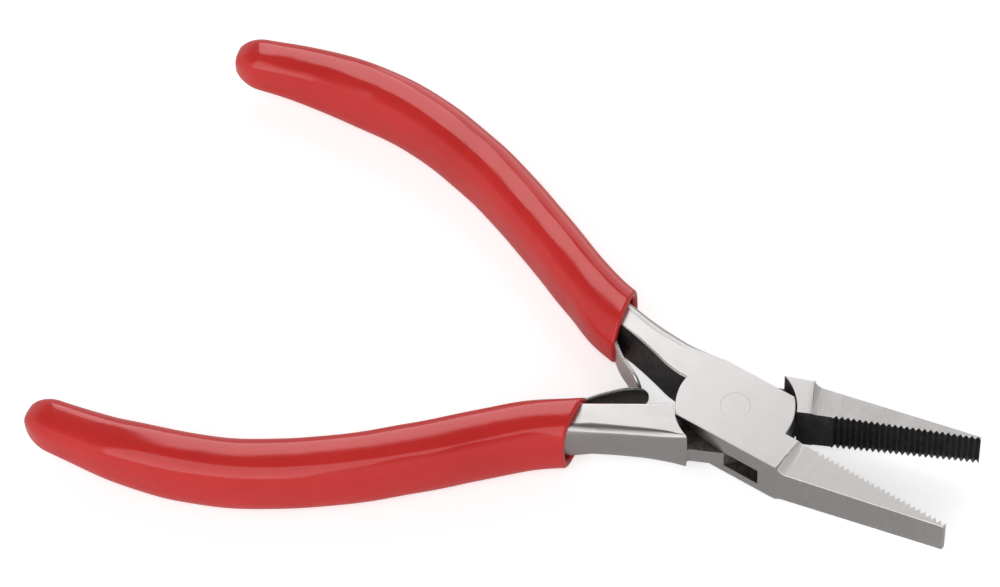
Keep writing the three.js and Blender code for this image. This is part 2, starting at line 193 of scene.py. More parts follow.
# %% The grip's sizes in millimetres
GRIP_WIDTH, GRIP_END_WIDTH = 3.84, 3.05  # from the handle line to each side
GRIP_HEIGHT, GRIP_END_HEIGHT = 5.02, 3.45  # from the middle up and down
GRIP_ROUNDNESS = 0.66  # 1 is an ellipse, 0 a rectangle
GRIP_END_RADIUS = 4.4
DRIP, DRIP_SHARE = 0.45, 0.6  # height of the drip point, and how much of the end's radius it takes
TAPER_START = 0.72  # share of the length from which the grip gets smaller
FLAP_SWELL = {SLOTTED: 0.32, WEB: 0.16}
FLAP_PINCH = 0.26  # how much lower the flap is than the grip
FLAP_FULL, FLAP_END = 0.06, 0.16  # shares of the length between which the flap fades out
RUN_DEPTH = 0.03  # the slow wave of the dip
RIM_LIP, RIM_HEEL = np.array([-19.9, 0.4]), np.array([-22, 9.0])
LIP_DEPTH = 0.5
WALL = 1.05
RIM_SLOPE = (RIM_HEEL - RIM_LIP) / np.linalg.norm(RIM_HEEL - RIM_LIP)
RIM_FORWARDS = np.array([RIM_SLOPE[1], -RIM_SLOPE[0]])  # square to the rim, towards the joint
print("the rim's plane faces", RIM_FORWARDS.round(3))

# %% The grip's surface
def signed_power(x, power):
    """The size of x to a power, with the sign of x."""
    return np.sign(x) * np.abs(x) ** power


def across(direction):
    """The unit vector square to the line, on the side that faces away from the other handle."""
    return np.stack([direction[..., 1], -direction[..., 0]], axis=-1)


def grip_surface(share, angle, side, wall=0.0):
    """Round the handle line, the distance across is the width times the cosine and the height is the
    half thickness times the sine, each to a power that squares it up. Both shrink towards the end,
    which is round with a small drip point, and near the rim the inner side swells over the spring
    and gets lower. A slow wave of a few hundredths of a millimetre is how the dip has run."""
    place, direction, length = along_line(HANDLE, share)
    turn = 1 - GRIP_END_RADIUS / length
    dome = np.sqrt(np.clip(1 - np.clip((share - turn) / (1 - turn), 0, 1) ** 2, 0, 1))
    ending = smooth(share, TAPER_START, 1)
    near_rim = 1 - smooth(share, FLAP_FULL, FLAP_END)
    width = (GRIP_WIDTH + (GRIP_END_WIDTH - GRIP_WIDTH) * ending - wall) * dome
    height = (GRIP_HEIGHT + (GRIP_END_HEIGHT - GRIP_HEIGHT) * ending - wall) * dome
    c, s = np.cos(angle), np.sin(angle)
    inner = np.clip(-signed_power(c, GRIP_ROUNDNESS), 0, 1)
    swell = 1 + FLAP_SWELL[side] * near_rim * (c < 0)
    pinch = 1 - FLAP_PINCH * near_rim * smooth(inner, 0.45, 0.9)
    waves = np.sin(17 * share + 2 * angle + side) * np.sin(41 * share - angle)
    run = RUN_DEPTH * waves * (wall == 0)
    sideways = signed_power(c, GRIP_ROUNDNESS) * (width * swell + run * dome)
    upwards = signed_power(s, GRIP_ROUNDNESS) * (height * pinch + run * dome)
    point = DRIP * (1 - smooth(dome, 0, DRIP_SHARE)) * (wall == 0)
    flat = place + across(direction) * sideways[..., None] + direction * point[..., None]
    return np.concatenate([flat, upwards[..., None]], axis=-1)


for share in (0.2, 0.5, 0.9):
    size = np.ptp(grip_surface(share, np.linspace(0, 2 * math.pi, 90), SLOTTED), axis=0)
    print("at", share, "of the length the grip is", size[2].round(1), "mm high")

# %% Where the surface meets the rim
HALVINGS, SEARCH_END = 30, 0.3


def share_at_rim(angle, side, wall):
    """For each angle, the share of the length at which the surface passes a plane set back from the
    rim's by the depth of the lip, found by halving an interval over and over."""
    low, high = np.zeros_like(angle), np.full_like(angle, SEARCH_END)
    for _ in range(HALVINGS):
        middle = (low + high) / 2
        set_back = (grip_surface(middle, angle, side, wall)[..., :2] - RIM_LIP) @ -RIM_FORWARDS
        too_near = set_back < LIP_DEPTH
        low, high = np.where(too_near, middle, low), np.where(too_near, high, middle)
    return (low + high) / 2


print("rim at share", share_at_rim(np.array([0.0]), SLOTTED, 0.0).round(4), "on the outer side")

# %% The whole grip
AROUND, ALONG, IN_BORE, OVER_LIP = 96, 170, 50, 10  # points of the grid
LAST_SHARE, BORE_END = 0.99995, 0.95


def grip(name, side):
    """From the tip of the round end along the outside to the rim, over the lip in a half circle, and
    back along the bore to its blind end. Rows crowd together towards the tip as a sine does."""
    angle = np.linspace(0, 2 * math.pi, AROUND, endpoint=False)
    rim_outside, rim_bore = share_at_rim(angle, side, 0.0), share_at_rim(angle, side, WALL)
    to_tip = 1 - np.sin(np.linspace(0.02, math.pi / 2, ALONG)[:, None]) ** 1.2
    into_bore = smooth(np.linspace(0, 1, IN_BORE), -0.02, 1)[:, None]
    share_outside = rim_outside + (LAST_SHARE - rim_outside) * to_tip
    share_bore = rim_bore + (BORE_END - rim_bore) * into_bore
    outside = grip_surface(share_outside, angle + 0 * share_outside, side)
    bore = grip_surface(share_bore, angle + 0 * share_bore, side, WALL)
    edge, mouth = outside[-1], bore[0]
    turn = np.linspace(0, math.pi, OVER_LIP + 2)[1:-1, None, None]
    bulge = np.sin(turn) * LIP_DEPTH * np.append(RIM_FORWARDS, 0)
    lip = (edge + mouth) / 2 + np.cos(turn) * (edge - mouth) / 2 + bulge
    return skin(name, placed(np.concatenate([outside, lip, bore]), side))


grip_slotted = grip("vinyl_grip_slotted", SLOTTED)
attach(grip_slotted, "slotted_side")
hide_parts("outer_grip")
grip_web = grip("vinyl_grip_web", WEB)
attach(grip_web, "web_side")
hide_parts("inner_grip")
print("grips:", [len(g.data.vertices) for g in (grip_slotted, grip_web)], "points")

# %% [markdown]
# ## The leaf springs
#
# Each is a strip of tempered steel, flat where it lies on the tang and curved where it reaches for
# the other leaf, with a round tip and rounded edges. A plane with Solidify and Bevel would do, but its
# bevel breaks up where the tip narrows. So it is a section carried along a line: the two values are
# the distance to the tip and the place round the thin section. In the last degrees before the teeth
# meet the two leaves pass a few hundredths of a millimetre into each other, where real leaves press.

# %% The two leaves
LEAF_THICKNESS, LEAF_WIDTH, LEAF_EDGE = 0.55, 4.5, 0.2
TIP_LENGTH = 2.2  # of the round end
LEAST_WIDTH = 0.02  # so that the last row isn't a single point
ACROSS = 25  # points over one face
LEAF_ROOT = [(-29.6, 4.05), (-25.1, 2.72), (-22, 2)]
LEAF_LINE = {
    SLOTTED: LEAF_ROOT + [(-20.3, 0.95), (-18.4, -0.5), (-16.7, -1.45), (-13.45, -3.05)],
    WEB: LEAF_ROOT + [(-20.3, 1.05), (-18.4, -0.1), (-15.2, -1.55), (-12.2, -2.15)],
}


def leaf(name, side):
    """The half width is constant and then follows a quarter ellipse into the tip. Across the strip the
    half thickness is constant and falls along a quarter circle at the edge."""
    length = along_line(LEAF_LINE[side], np.array([0.0]))[2]
    round_end = TIP_LENGTH * (1 - np.sin(np.linspace(0, math.pi / 2, 20)[1:]))
    to_tip = np.concatenate([np.linspace(length, TIP_LENGTH, 60), round_end])
    place, direction, _ = along_line(LEAF_LINE[side], 1 - to_tip / length)
    half_width = LEAF_WIDTH / 2 * np.sqrt(1 - (1 - np.clip(to_tip / TIP_LENGTH, 0, 1)) ** 2)
    half_width = np.maximum(half_width, LEAST_WIDTH)
    over = np.sin(np.linspace(-math.pi / 2, math.pi / 2, ACROSS))
    round_trip = np.concatenate([over, over[-2:0:-1]])
    face = np.concatenate([np.ones(ACROSS), -np.ones(ACROSS - 2)])
    sideways = half_width[:, None] * round_trip
    inset = np.minimum(half_width[:, None] - np.abs(sideways), to_tip[:, None])
    rounded = 1 - np.clip(1 - inset / LEAF_EDGE, 0, 1) ** 2
    lift = LEAF_THICKNESS / 2 * face * np.sqrt(rounded)
    flat = place[:, None] + across(direction)[:, None] * lift[..., None]
    return skin(name, placed(np.concatenate([flat, sideways[..., None]], axis=-1), side))


leaves = {SLOTTED: leaf("leaf_spring_slotted", SLOTTED), WEB: leaf("leaf_spring_web", WEB)}
for side, body, other, solid in ((SLOTTED, "slotted_side", "web_side", "outer_leaf_spring"),
                                 (WEB, "web_side", "slotted_side", "inner_leaf_spring")):
    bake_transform(leaves[side])
    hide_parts(solid)
print("leaves:", [len(x.data.vertices) for x in leaves.values()], "points")

# %% [markdown]
# ## The two forgings
#
# The halves carry every fit of the tool: the slot, the web that turns in it, the bore and the teeth.
# Modelling them again would only lose those fits, so each is a welded copy of its node. What a
# forging has and a solid doesn't are broken edges, and faces of different finish: ground outside,
# black with forging scale where no wheel reaches. Both are read off the faces' places in the flat
# frame.

# %% A welded copy of a node
WELD_DISTANCE = 2e-6  # metres
FLAT_ANGLE = math.radians(0.4)


def welded(solid, name):
    """The solid's triangles joined at their corners, and those in one plane joined into one face."""
    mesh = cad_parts[solid].data.copy()
    mesh.name = name
    mesh.materials.clear()
    work = bmesh.new()
    work.from_mesh(mesh)
    bmesh.ops.remove_doubles(work, verts=work.verts, dist=WELD_DISTANCE)
    bmesh.ops.dissolve_limit(work, angle_limit=FLAT_ANGLE, verts=work.verts, edges=work.edges)
    work.to_mesh(mesh)
    work.free()
    mesh.shade_smooth()
    piece = bpy.data.objects.new(name, mesh)
    bpy.context.collection.objects.link(piece)
    return piece


forgings = {SLOTTED: welded("outer_half", "forging_slotted"), WEB: welded("inner_half", "forging_web")}
for side, body, solid in ((SLOTTED, "slotted_side", "outer_half"), (WEB, "web_side", "inner_half")):
    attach(forgings[side], body)
    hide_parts(solid)
    print(forgings[side].name, len(forgings[side].data.polygons), "faces")

# %% [markdown]
# ## The pin
#
# The pin is driven through the box and ground flush, so that its joint with the box almost
# vanishes. The frame's pin has a clearance all round, which would show as a dark ring. A cylinder
# with a bevel would do as well. A profile carried round the axis reuses the skin from above and
# gives a pin that fills the bore, with a hair line left round it.

# %% A turned pin
PIN_RADIUS, PIN_CHAMFER = 2.05, 0.02


def turned(name, profile, around=96):
    """A profile of radius and height, carried round the pin's axis: radius times cosine and sine."""
    turn = np.linspace(0, 2 * math.pi, around, endpoint=False)
    radius, height = np.array(profile).T[..., None]
    rows = np.stack([radius * np.cos(turn), radius * np.sin(turn), height + 0 * turn], axis=-1)
    return skin(name, placed(rows, SLOTTED))


inner_radius, top = PIN_RADIUS - PIN_CHAMFER, THICKNESS / 2
pin = turned("joint_pin_flush", [(inner_radius, -top), (PIN_RADIUS, PIN_CHAMFER - top),
                                 (PIN_RADIUS, top - PIN_CHAMFER), (inner_radius, top)])
pin.data.set_sharp_from_angle(angle=math.radians(30))
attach(pin, "slotted_side")
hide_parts("joint_pin")
print("pin:", len(pin.data.vertices), "points")

# %% [markdown]
# ## Where each finish lies
#
# A grinding wheel reaches the flat faces, a belt the sides, and nothing the bite, the inside of the
# joint and the insides of the necks, which keep the black of the forge. Painting a mask by hand
# would show this too. Here each face gets its finish from where it lies and which way it faces, so
# the borders run exactly along the edges.

# %% The finish of every face
GROUND, SCALE, RUBBED, SIDE = range(4)  # the forgings' material slots
SLOT_TOP, SLOT_BOTTOM = 0.75, -2.25
SLOT_RADIUS, SHOULDER_RADIUS = 9.2, 8.35
BITE_START, BITE_DEPTH = 8, -0.62  # u from which the gripping face runs, and v of the teeth's roots
NECK_START, NECK_MIDDLE = -5.4, 3.5  # u at the joint, and v that parts the inner from the outer side
WEB_SIDE = 5.6  # v beyond which the web shows in the box's side
LEVEL = 0.998  # height of a direction that still counts as straight up
NEAR = 0.1


def face_places(mesh, side):
    """The middle and the direction of every face, in the flat frame. A direction is the flat place
    of its tip less the flat place of the origin."""
    values = np.empty((2, len(mesh.polygons) * 3))
    mesh.polygons.foreach_get("center", values[0])
    mesh.polygons.foreach_get("normal", values[1])
    origin = flattened(np.zeros((1, 3)), side)
    middle = flattened(values[0].reshape(-1, 3), side)
    return middle, flattened(values[1].reshape(-1, 3) * MM, side) - origin


def finish_of(middle, normal, side):
    """Black scale on the bite, along the inner faces of the necks and on the shoulders; rubbed scale
    on what turns inside the joint; and the ground steel of the flat faces and of the sides."""
    u, v, z = middle.T
    upright = np.abs(normal[:, 2]) < 0.5
    radius = np.hypot(u, v)
    finish = np.where(upright, SIDE, GROUND)
    finish[(u < NECK_START) & (v > NECK_MIDDLE) & (np.abs(normal[:, 2]) < LEVEL)] = SIDE
    finish[upright & (u > BITE_START) & (v > BITE_DEPTH) & (normal[:, 0] < 0.95)] = SCALE
    finish[upright & (u < NECK_START) & (normal[:, 1] < -0.5)] = SCALE
    if side == SLOTTED:
        inside = (z > SLOT_BOTTOM - 0.02) & (z < SLOT_TOP + 0.02) & (radius < SLOT_RADIUS + 0.05)
        wall = (np.abs(radius - SLOT_RADIUS) < NEAR) & upright
        finish[inside & (~upright | wall)] = RUBBED
        finish[(normal[:, 2] < -0.2) & (z > SLOT_TOP - 0.05) & (u < 1)] = RUBBED
    else:
        web = (z > SLOT_BOTTOM) & (z < SLOT_TOP) & (radius < SHOULDER_RADIUS + 0.02)
        finish[web & ~(upright & (np.abs(v) > WEB_SIDE))] = RUBBED
        facing_pin = u * normal[:, 0] + v * normal[:, 1] < -0.5 * radius
        finish[(np.abs(radius - SHOULDER_RADIUS) < NEAR) & upright & facing_pin] = SCALE
    return finish


for side, forging in forgings.items():
    middle, normal = face_places(forging.data, side)
    finish = finish_of(middle, normal, side)
    forging.data.polygons.foreach_set("material_index", finish.astype(np.int32))
    print(forging.name, "faces of each finish:", np.bincount(finish, minlength=4))

# %% [markdown]
# ## Broken edges
#
# No real edge is perfectly sharp: the wheel or a file breaks it, and the narrow flat catches light.
# The Bevel modifier does this, with a weight on each edge for its width, so that the teeth stay
# crisper than the box. Moving points by hand would give the same, edge by edge. A second modifier
# keeps the large flat faces flat in the shading.

# %% How wide each edge is broken
TOOTH_BREAK, FIT_BREAK, BODY_BREAK = 0.03, 0.05, 0.12  # width in millimetres
SHARP_TURN = math.cos(math.radians(25))
TEETH_START, TEETH_DEPTH = 12.5, -0.68  # u and v of the teeth's first root
NECK_CURVE = (-5.3, 2.6, 0.5)  # u, v and height past which the neck's outer side is smooth
BORE = 2.5  # radius within which the pin's bore keeps its edge


def edge_breaks(mesh, side):
    """The width of each edge's bevel, where its two faces turn by more than the sharp angle, and
    whether the edge stays sharp instead. The cosine of the turn is the product of the two
    directions. Sorting the corners of all faces by their edge brings each edge's faces together."""
    middle, normal = face_places(mesh, side)
    sizes, of_corner = np.empty(len(mesh.polygons), np.int32), np.empty(len(mesh.loops), np.int32)
    mesh.polygons.foreach_get("loop_total", sizes)
    mesh.loops.foreach_get("edge_index", of_corner)
    face = np.repeat(np.arange(len(sizes)), sizes)
    face = face[np.argsort(of_corner, kind="stable")].reshape(-1, 2)
    normal /= np.linalg.norm(normal, axis=1, keepdims=True)
    turn = (normal[face[:, 0]] * normal[face[:, 1]]).sum(axis=1)
    ends = np.empty(len(mesh.edges) * 2, np.int32)
    mesh.edges.foreach_get("vertices", ends)
    spots = np.empty(len(mesh.vertices) * 3)
    mesh.vertices.foreach_get("co", spots)
    spot = flattened(spots.reshape(-1, 3), side)[ends.reshape(-1, 2)].mean(axis=1)
    u, v, z = spot.T
    radius = np.hypot(u, v)
    finish = finish_of(middle, normal, side)[face]
    width = np.full(len(mesh.edges), BODY_BREAK)
    inside_joint = (radius < SLOT_RADIUS) & (np.abs(z) < 3.6)
    unground = ((finish == RUBBED) | (finish == SCALE)).any(axis=1)
    width[inside_joint | unground] = FIT_BREAK
    width[(u > TEETH_START) & (v > TEETH_DEPTH)] = TOOTH_BREAK
    neck_u, neck_v, neck_z = NECK_CURVE
    at_shoulder = (side == WEB) & (np.abs(radius - SHOULDER_RADIUS) < 0.15) & (v > neck_v)
    on_neck = (u < neck_u) & (v > neck_v) & (np.abs(z) > neck_z)
    sharp = (turn < SHARP_TURN) & (at_shoulder | ~on_neck)
    width[(radius < BORE) | at_shoulder | ~sharp] = 0
    return width, sharp & (width == 0)


# %% The two modifiers
for side, forging in forgings.items():
    width, left_sharp = edge_breaks(forging.data, side)
    crisp = forging.data.attributes.new("sharp_edge", "BOOLEAN", "EDGE")
    crisp.data.foreach_set("value", left_sharp)
    weight = forging.data.attributes.new("bevel_weight_edge", "FLOAT", "EDGE")
    weight.data.foreach_set("value", width.astype(np.float32))
    bevel = forging.modifiers.new("broken edges", "BEVEL")
    bevel.limit_method = "WEIGHT"
    bevel.width = MM
    bevel.segments = 2
    bevel.use_clamp_overlap = False
    flat = forging.modifiers.new("flat faces stay flat", "WEIGHTED_NORMAL")
    flat.weight = 100
    flat.keep_sharp = True
    print(forging.name, int((width > 0).sum()), "edges broken")

# %% [markdown]
# ## Nodes in few words
#
# Materials are trees of nodes. They could be wired by hand in the editor, but written out they can be
# read and repeated. A few helpers keep that short: one makes a node with its inputs, one makes a
# node group with named sockets, one starts a material, and three wrap the nodes used most.

# %% A node, a group and a material
def node(tree, kind, inputs=None, **settings):
    """A new node. Each input, by its name or number, gets a value or a link from another node."""
    made = tree.nodes.new(kind)
    for key, value in settings.items():
        setattr(made, key, value)
    for key, value in (inputs or {}).items():
        if isinstance(value, bpy.types.NodeSocket):
            tree.links.new(value, made.inputs[key])
        else:
            made.inputs[key].default_value = value
    return made


def group(name, inputs, outputs):
    """A shader node group with named sockets, and its input and output nodes."""
    tree = bpy.data.node_groups.new(name, "ShaderNodeTree")
    for label, kind, value in inputs:
        socket = tree.interface.new_socket(label, in_out="INPUT", socket_type=kind)
        if value is not None:
            socket.default_value = value
    for label, kind in outputs:
        tree.interface.new_socket(label, in_out="OUTPUT", socket_type=kind)
    return tree, tree.nodes.new("NodeGroupInput").outputs, tree.nodes.new("NodeGroupOutput").inputs


def material(name, roughness, metallic, **constants):
    """A material with one Principled BSDF, whose constants are set on its own sockets."""
    made = bpy.data.materials.new(name)
    made.use_nodes = True
    shader = made.node_tree.nodes["Principled BSDF"]
    shader.inputs["Roughness"].default_value = roughness
    shader.inputs["Metallic"].default_value = metallic
    for key, value in constants.items():
        shader.inputs[key.replace("_", " ")].default_value = value
    return made, made.node_tree, shader.inputs


# %% The nodes used most
def use_group(tree, which, inputs):
    """Places a node group in a material."""
    return node(tree, "ShaderNodeGroup", inputs, node_tree=which).outputs


def arithmetic(tree, operation, *values):
    """A Math node on two or three values or sockets."""
    return node(tree, "ShaderNodeMath", dict(enumerate(values)), operation=operation).outputs[0]


def between(tree, value, low, high, first=0.0, second=1.0):
    """A smooth step of a value, from first at low to second at high."""
    limits = {"Value": value, "From Min": low, "From Max": high, "To Min": first, "To Max": second}
    return node(tree, "ShaderNodeMapRange", limits, interpolation_type="SMOOTHSTEP").outputs[0]


def mixed(tree, share, first, second):
    """Two numbers mixed by a share: the number sockets of a Mix node are its inputs 2 and 3."""
    return node(tree, "ShaderNodeMix", {0: share, 2: first, 3: second}).outputs[0]


def mixed_colour(tree, share, first, second):
    """Two colours mixed by a share: the colour sockets of a Mix node are its inputs 6 and 7."""
    inputs = {0: share, 6: first, 7: second}
    return node(tree, "ShaderNodeMix", inputs, data_type="RGBA").outputs[2]


def raised(tree, shader, strength, distance, height):
    """A Bump node that feeds the shader's normal."""
    inputs = {"Strength": strength, "Distance": distance, "Height": height}
    tree.links.new(node(tree, "ShaderNodeBump", inputs).outputs[0], shader["Normal"])


print("helpers for nodes are ready")

# %% [markdown]
# ## Finishes shared by the pieces
#
# Two effects come back on several materials, so each is a node group. Grinding lines are a noise
# squeezed hard in one direction, which gives long fine streaks along the wheel's way, where a wave
# texture would repeat itself. Mottle is a cloudy noise, for forging scale, for the grain of tempered
# steel and for vinyl.

# %% Grinding lines
FLOAT, VECTOR, COLOUR = "NodeSocketFloat", "NodeSocketVector", "NodeSocketColor"
lines, given, result = group(
    "grinding_lines",
    [("Vector", VECTOR, None), ("Per metre", VECTOR, (200, 9000, 200)), ("Waviness", FLOAT, 0.3)],
    [("Lines", FLOAT)],
)


def vector_math(tree, operation, inputs):
    """A Vector Math node."""
    return node(tree, "ShaderNodeVectorMath", inputs, operation=operation).outputs[0]


def noise(tree, place, scale, detail, roughness=0.5):
    """A Noise Texture node."""
    inputs = {"Vector": place, "Scale": scale, "Detail": detail, "Roughness": roughness}
    return node(tree, "ShaderNodeTexNoise", inputs).outputs


drift = noise(lines, given["Vector"], 120.0, 1.0)["Color"]
squeezed = vector_math(lines, "MULTIPLY", {0: given["Vector"], 1: given["Per metre"]})
bent = vector_math(lines, "SCALE", {0: drift, "Scale": given["Waviness"]})
moved = vector_math(lines, "ADD", {0: squeezed, 1: bent})
lines.links.new(noise(lines, moved, 1.0, 4.0, 0.65)["Fac"], result["Lines"])
print("group:", lines.name)

# %% Mottle
mottle, given, result = group(
    "mottle",
    [("Vector", VECTOR, None), ("Scale", FLOAT, 600.0), ("Low", FLOAT, 0.35), ("High", FLOAT, 0.65),
     ("First", COLOUR, (0, 0, 0, 1)), ("Second", COLOUR, (1, 1, 1, 1))],
    [("Color", COLOUR), ("Mask", FLOAT)],
)
cloud = noise(mottle, given["Vector"], given["Scale"], 5.0, 0.6)["Fac"]
limits = {"Value": cloud, "From Min": given["Low"], "From Max": given["High"]}
spread = node(mottle, "ShaderNodeMapRange", limits).outputs[0]
mottle.links.new(spread, result["Mask"])
mottle.links.new(mixed_colour(mottle, spread, given["First"], given["Second"]), result["Color"])
print("groups:", [g.name for g in bpy.data.node_groups])

# %% [markdown]
# ## Steel
#
# The flat faces are ground: in lines square to the bite on the jaws, and finer and almost without
# direction on the box. The sides are only finished on a belt, and they are greyer, partly from that
# finish and partly as painted shade. A scratched picture could be wrapped round each half. Lines
# worked out from the place need no unwrapping, and one function makes a set for each half, because
# the lines follow that half's own direction. The jaws are rougher than the box, and how bright each
# jaw is against the box is painted light: a painted reflection on the slotted half's jaw, painted
# shade on the web half's.

# %% Coordinates that lie along a half
def object_place(tree):
    """Object coordinates, which are metres here."""
    return node(tree, "ShaderNodeTexCoord").outputs["Object"]


def flat_frame_vector(tree, side):
    """Object coordinates in the half's flat frame, in metres: y changes sign for the web side, then
    both turn by the open half angle."""
    inputs = {"Vector": object_place(tree), "Rotation": (0, 0, OPEN_HALF_ANGLE), "Scale": (1, side, 1)}
    return node(tree, "ShaderNodeMapping", inputs).outputs[0]


print("the lines of each half turn with it by", round(OPEN_HALF_ANGLE, 3), "radians")

# %% Ground steel
JAW_START, JAW_FULL = 0.0095, 0.0108  # metres along u between which the jaw's finish sets in


def ground_steel(name, side, bright, dull, roughness, depth, jaw_painted_light=1.0, jaw_rougher=0.0):
    """Cross lines on the jaw and fainter, finer lines elsewhere drive colour, roughness and a small
    bump. The jaw's colour is the rest's times a share of painted light: above 1 a painted reflection,
    below 1 painted shade. Its roughness is higher by a step."""
    made, tree, shader = material(name, roughness, 1.0)
    place = flat_frame_vector(tree, side)
    u = node(tree, "ShaderNodeSeparateXYZ", {"Vector": place}).outputs["X"]
    cross = use_group(tree, lines, {"Vector": place, "Per metre": (7000, 260, 260), "Waviness": 0.8})[0]
    fine = use_group(tree, lines, {"Vector": place, "Per metre": (500, 5200, 5200), "Waviness": 1.2})[0]
    streak = mixed(tree, between(tree, u, JAW_START, JAW_FULL), fine, cross)
    cloud = use_group(tree, mottle, {"Vector": place, "Scale": 260.0, "Low": 0.3, "High": 0.7})["Mask"]
    both = arithmetic(tree, "MULTIPLY_ADD", cloud, 0.25, streak)
    calm = mixed(tree, between(tree, u, JAW_START, JAW_FULL, 0.35, 1.0), 0.6, both)
    colour = mixed_colour(tree, between(tree, calm, 0.3, 0.9), dull, bright)
    # Painted light on the jaw: a factor on the colour that runs from 1 on the box to the given share on the
    # jaw.
    shade = between(tree, u, JAW_START, JAW_FULL, 1.0, jaw_painted_light)
    tree.links.new(vector_math(tree, "SCALE", {0: colour, "Scale": shade}), shader["Base Color"])
    satin = between(tree, calm, 0.25, 0.95, roughness + 0.07, roughness - 0.05)
    coarser = between(tree, u, JAW_START, JAW_FULL, 0.0, jaw_rougher)
    tree.links.new(arithmetic(tree, "ADD", satin, coarser), shader["Roughness"])
    raised(tree, shader, depth, 0.00002, calm)
    return made


# Painted light on the jaws: a painted reflection on the slotted half's jaw, painted shade on the web half's.
JAW_PAINTED_LIGHT = {SLOTTED: 1.3, WEB: 0.8}  # how bright each half's jaw is against the box
JAW_ROUGHER = 0.24
STEEL = {}
for side, half in ((SLOTTED, "slotted"), (WEB, "web")):
    ground = ground_steel(f"ground_steel_{half}", side, (0.76, 0.74, 0.73, 1), (0.69, 0.67, 0.66, 1),
                          0.36, 0.35, JAW_PAINTED_LIGHT[side], JAW_ROUGHER)
    # The sides' copy is darker: partly their belt finish, partly painted shade.
    linished_and_shaded = ground_steel(f"side_steel_{half}", side, (0.54, 0.524, 0.513, 1), (0.47, 0.456, 0.446, 1),
                            0.3, 0.3)
    STEEL[side] = {GROUND: ground, SIDE: linished_and_shaded}
print("steel:", [m.name for s in STEEL.values() for m in s.values()])

# %% [markdown]
# ## Scale
#
# Hot steel grows a black skin of oxide, which stays where nothing has ground or rubbed it. In the
# joint it is rubbed half away, and the steel shows through. A plain dark colour would look like
# paint, so the skin is cloudy and its gloss changes along faint rubbing lines.

# %% Black scale and rubbed scale
def forging_scale(name, first, second, roughness, metallic, specular):
    """A cloudy skin of oxide, in patches of about a millimetre, with rubbing lines in its gloss."""
    made, tree, shader = material(name, roughness, metallic, Specular_IOR_Level=specular)
    place = object_place(tree)
    cloud = use_group(tree, mottle, {"Vector": place, "Scale": 900.0, "First": first, "Second": second})
    rub = use_group(tree, lines, {"Vector": place, "Per metre": (900, 6000, 900), "Waviness": 1.5})[0]
    tree.links.new(cloud["Color"], shader["Base Color"])
    tree.links.new(between(tree, rub, 0.3, 0.7, roughness + 0.1, roughness - 0.08), shader["Roughness"])
    raised(tree, shader, 0.3, 0.00003, arithmetic(tree, "ADD", cloud["Mask"], rub))
    return made


black_scale = forging_scale("black_scale", (0.02, 0.019, 0.019, 1), (0.046, 0.043, 0.042, 1), 0.4, 0.0, 0.45)
rubbed_scale = forging_scale("rubbed_scale", (0.05, 0.04, 0.036, 1), (0.16, 0.135, 0.12, 1), 0.42, 0.6, 0.5)
for side, forging in forgings.items():
    for finish in (STEEL[side][GROUND], black_scale, rubbed_scale, STEEL[side][SIDE]):
        forging.data.materials.append(finish)
    print(forging.name, [m.name for m in forging.data.materials])

# %% [markdown]
# ## Springs, pin and rivets
#
# Spring steel is hardened and tempered, which leaves a fine grey speckle. The mottle group gives it
# with a high scale. One leaf is darker than the other: the same steel with painted shade, for a leaf
# that lies in shade. The pin is ground together with the box, so it takes the box's own finish, and
# the hidden rivets take it too.

# %% Spring steel, pin and rivets
def tempered_steel(name, first, second, roughness):
    """Grey satin with fine speckle from the tempering bath."""
    made, tree, shader = material(name, roughness, 1.0)
    speckle = use_group(tree, mottle, {"Vector": object_place(tree), "Scale": 4200.0, "Low": 0.38,
                                       "High": 0.62, "First": first, "Second": second})
    tree.links.new(speckle["Color"], shader["Base Color"])
    satin = between(tree, speckle["Mask"], 0, 1, roughness + 0.08, roughness - 0.05)
    tree.links.new(satin, shader["Roughness"])
    raised(tree, shader, 0.2, 0.00002, speckle["Mask"])
    return made


spring_steel = tempered_steel("spring_steel", (0.62, 0.585, 0.565, 1), (0.88, 0.84, 0.82, 1), 0.4)
# The web leaf's copy: the same spring steel, with painted shade in its darker colours.
shaded_spring_steel = tempered_steel("shaded_spring_steel", (0.2, 0.188, 0.168, 1), (0.34, 0.32, 0.29, 1), 0.34)
for side, finish in ((SLOTTED, spring_steel), (WEB, shaded_spring_steel)):
    leaves[side].data.materials.append(finish)
pin.data.materials.append(STEEL[SLOTTED][GROUND])
for name in ("outer_spring_rivet", "inner_spring_rivet"):
    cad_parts[name].material_slots[0].material = STEEL[SLOTTED][GROUND]
print("springs:", spring_steel.name, shaded_spring_steel.name)

# %% [markdown]
# ## Red vinyl
#
# The dip is a thick, soft gloss coat with its colour all through it. Two clouds of different size
# do the work: a wide one shifts the red a little, and a finer one gives the faint orange peel in
# gloss and height. A clear coat would shine white. A little red in the highlights makes the coat
# look softer.

# %% Red vinyl
vinyl, tree, shader = material("red_vinyl", 0.12, 0.0, Specular_IOR_Level=0.7,
                               Specular_Tint=(1, 0.68, 0.7, 1))
place = object_place(tree)
tint = use_group(tree, mottle, {"Vector": place, "Scale": 90.0, "First": (0.66, 0.03, 0.027, 1),
                                "Second": (0.72, 0.036, 0.032, 1)})
tree.links.new(tint["Color"], shader["Base Color"])
peel = use_group(tree, mottle, {"Vector": place, "Scale": 420.0, "Low": 0.2, "High": 0.8})["Mask"]
tree.links.new(between(tree, peel, 0, 1, 0.1, 0.15), shader["Roughness"])
raised(tree, shader, 0.12, 0.00005, peel)
for piece in (grip_slotted, grip_web):
    piece.data.materials.append(vinyl)
print("grips:", vinyl.name)

# %% [markdown]
# ## The studio
#
# Steel and gloss vinyl are seen by what they mirror, so the lights matter as much as the finishes.
# There is a small bright light behind, on the handles' side, that the flat faces mirror, a wide low
# one behind, a wide one in front, and a room that is bright at the horizon and dark overhead. The
# dark between the lights draws the deep red band along each grip. One sky picture could light all
# of it, but three soft lights can be moved one at a time. The pale table glows a little, for the
# camera only, so that it shows as clean paper without lighting the tool from below.

# %% Lights
LIGHT_DISTANCE = 1.0


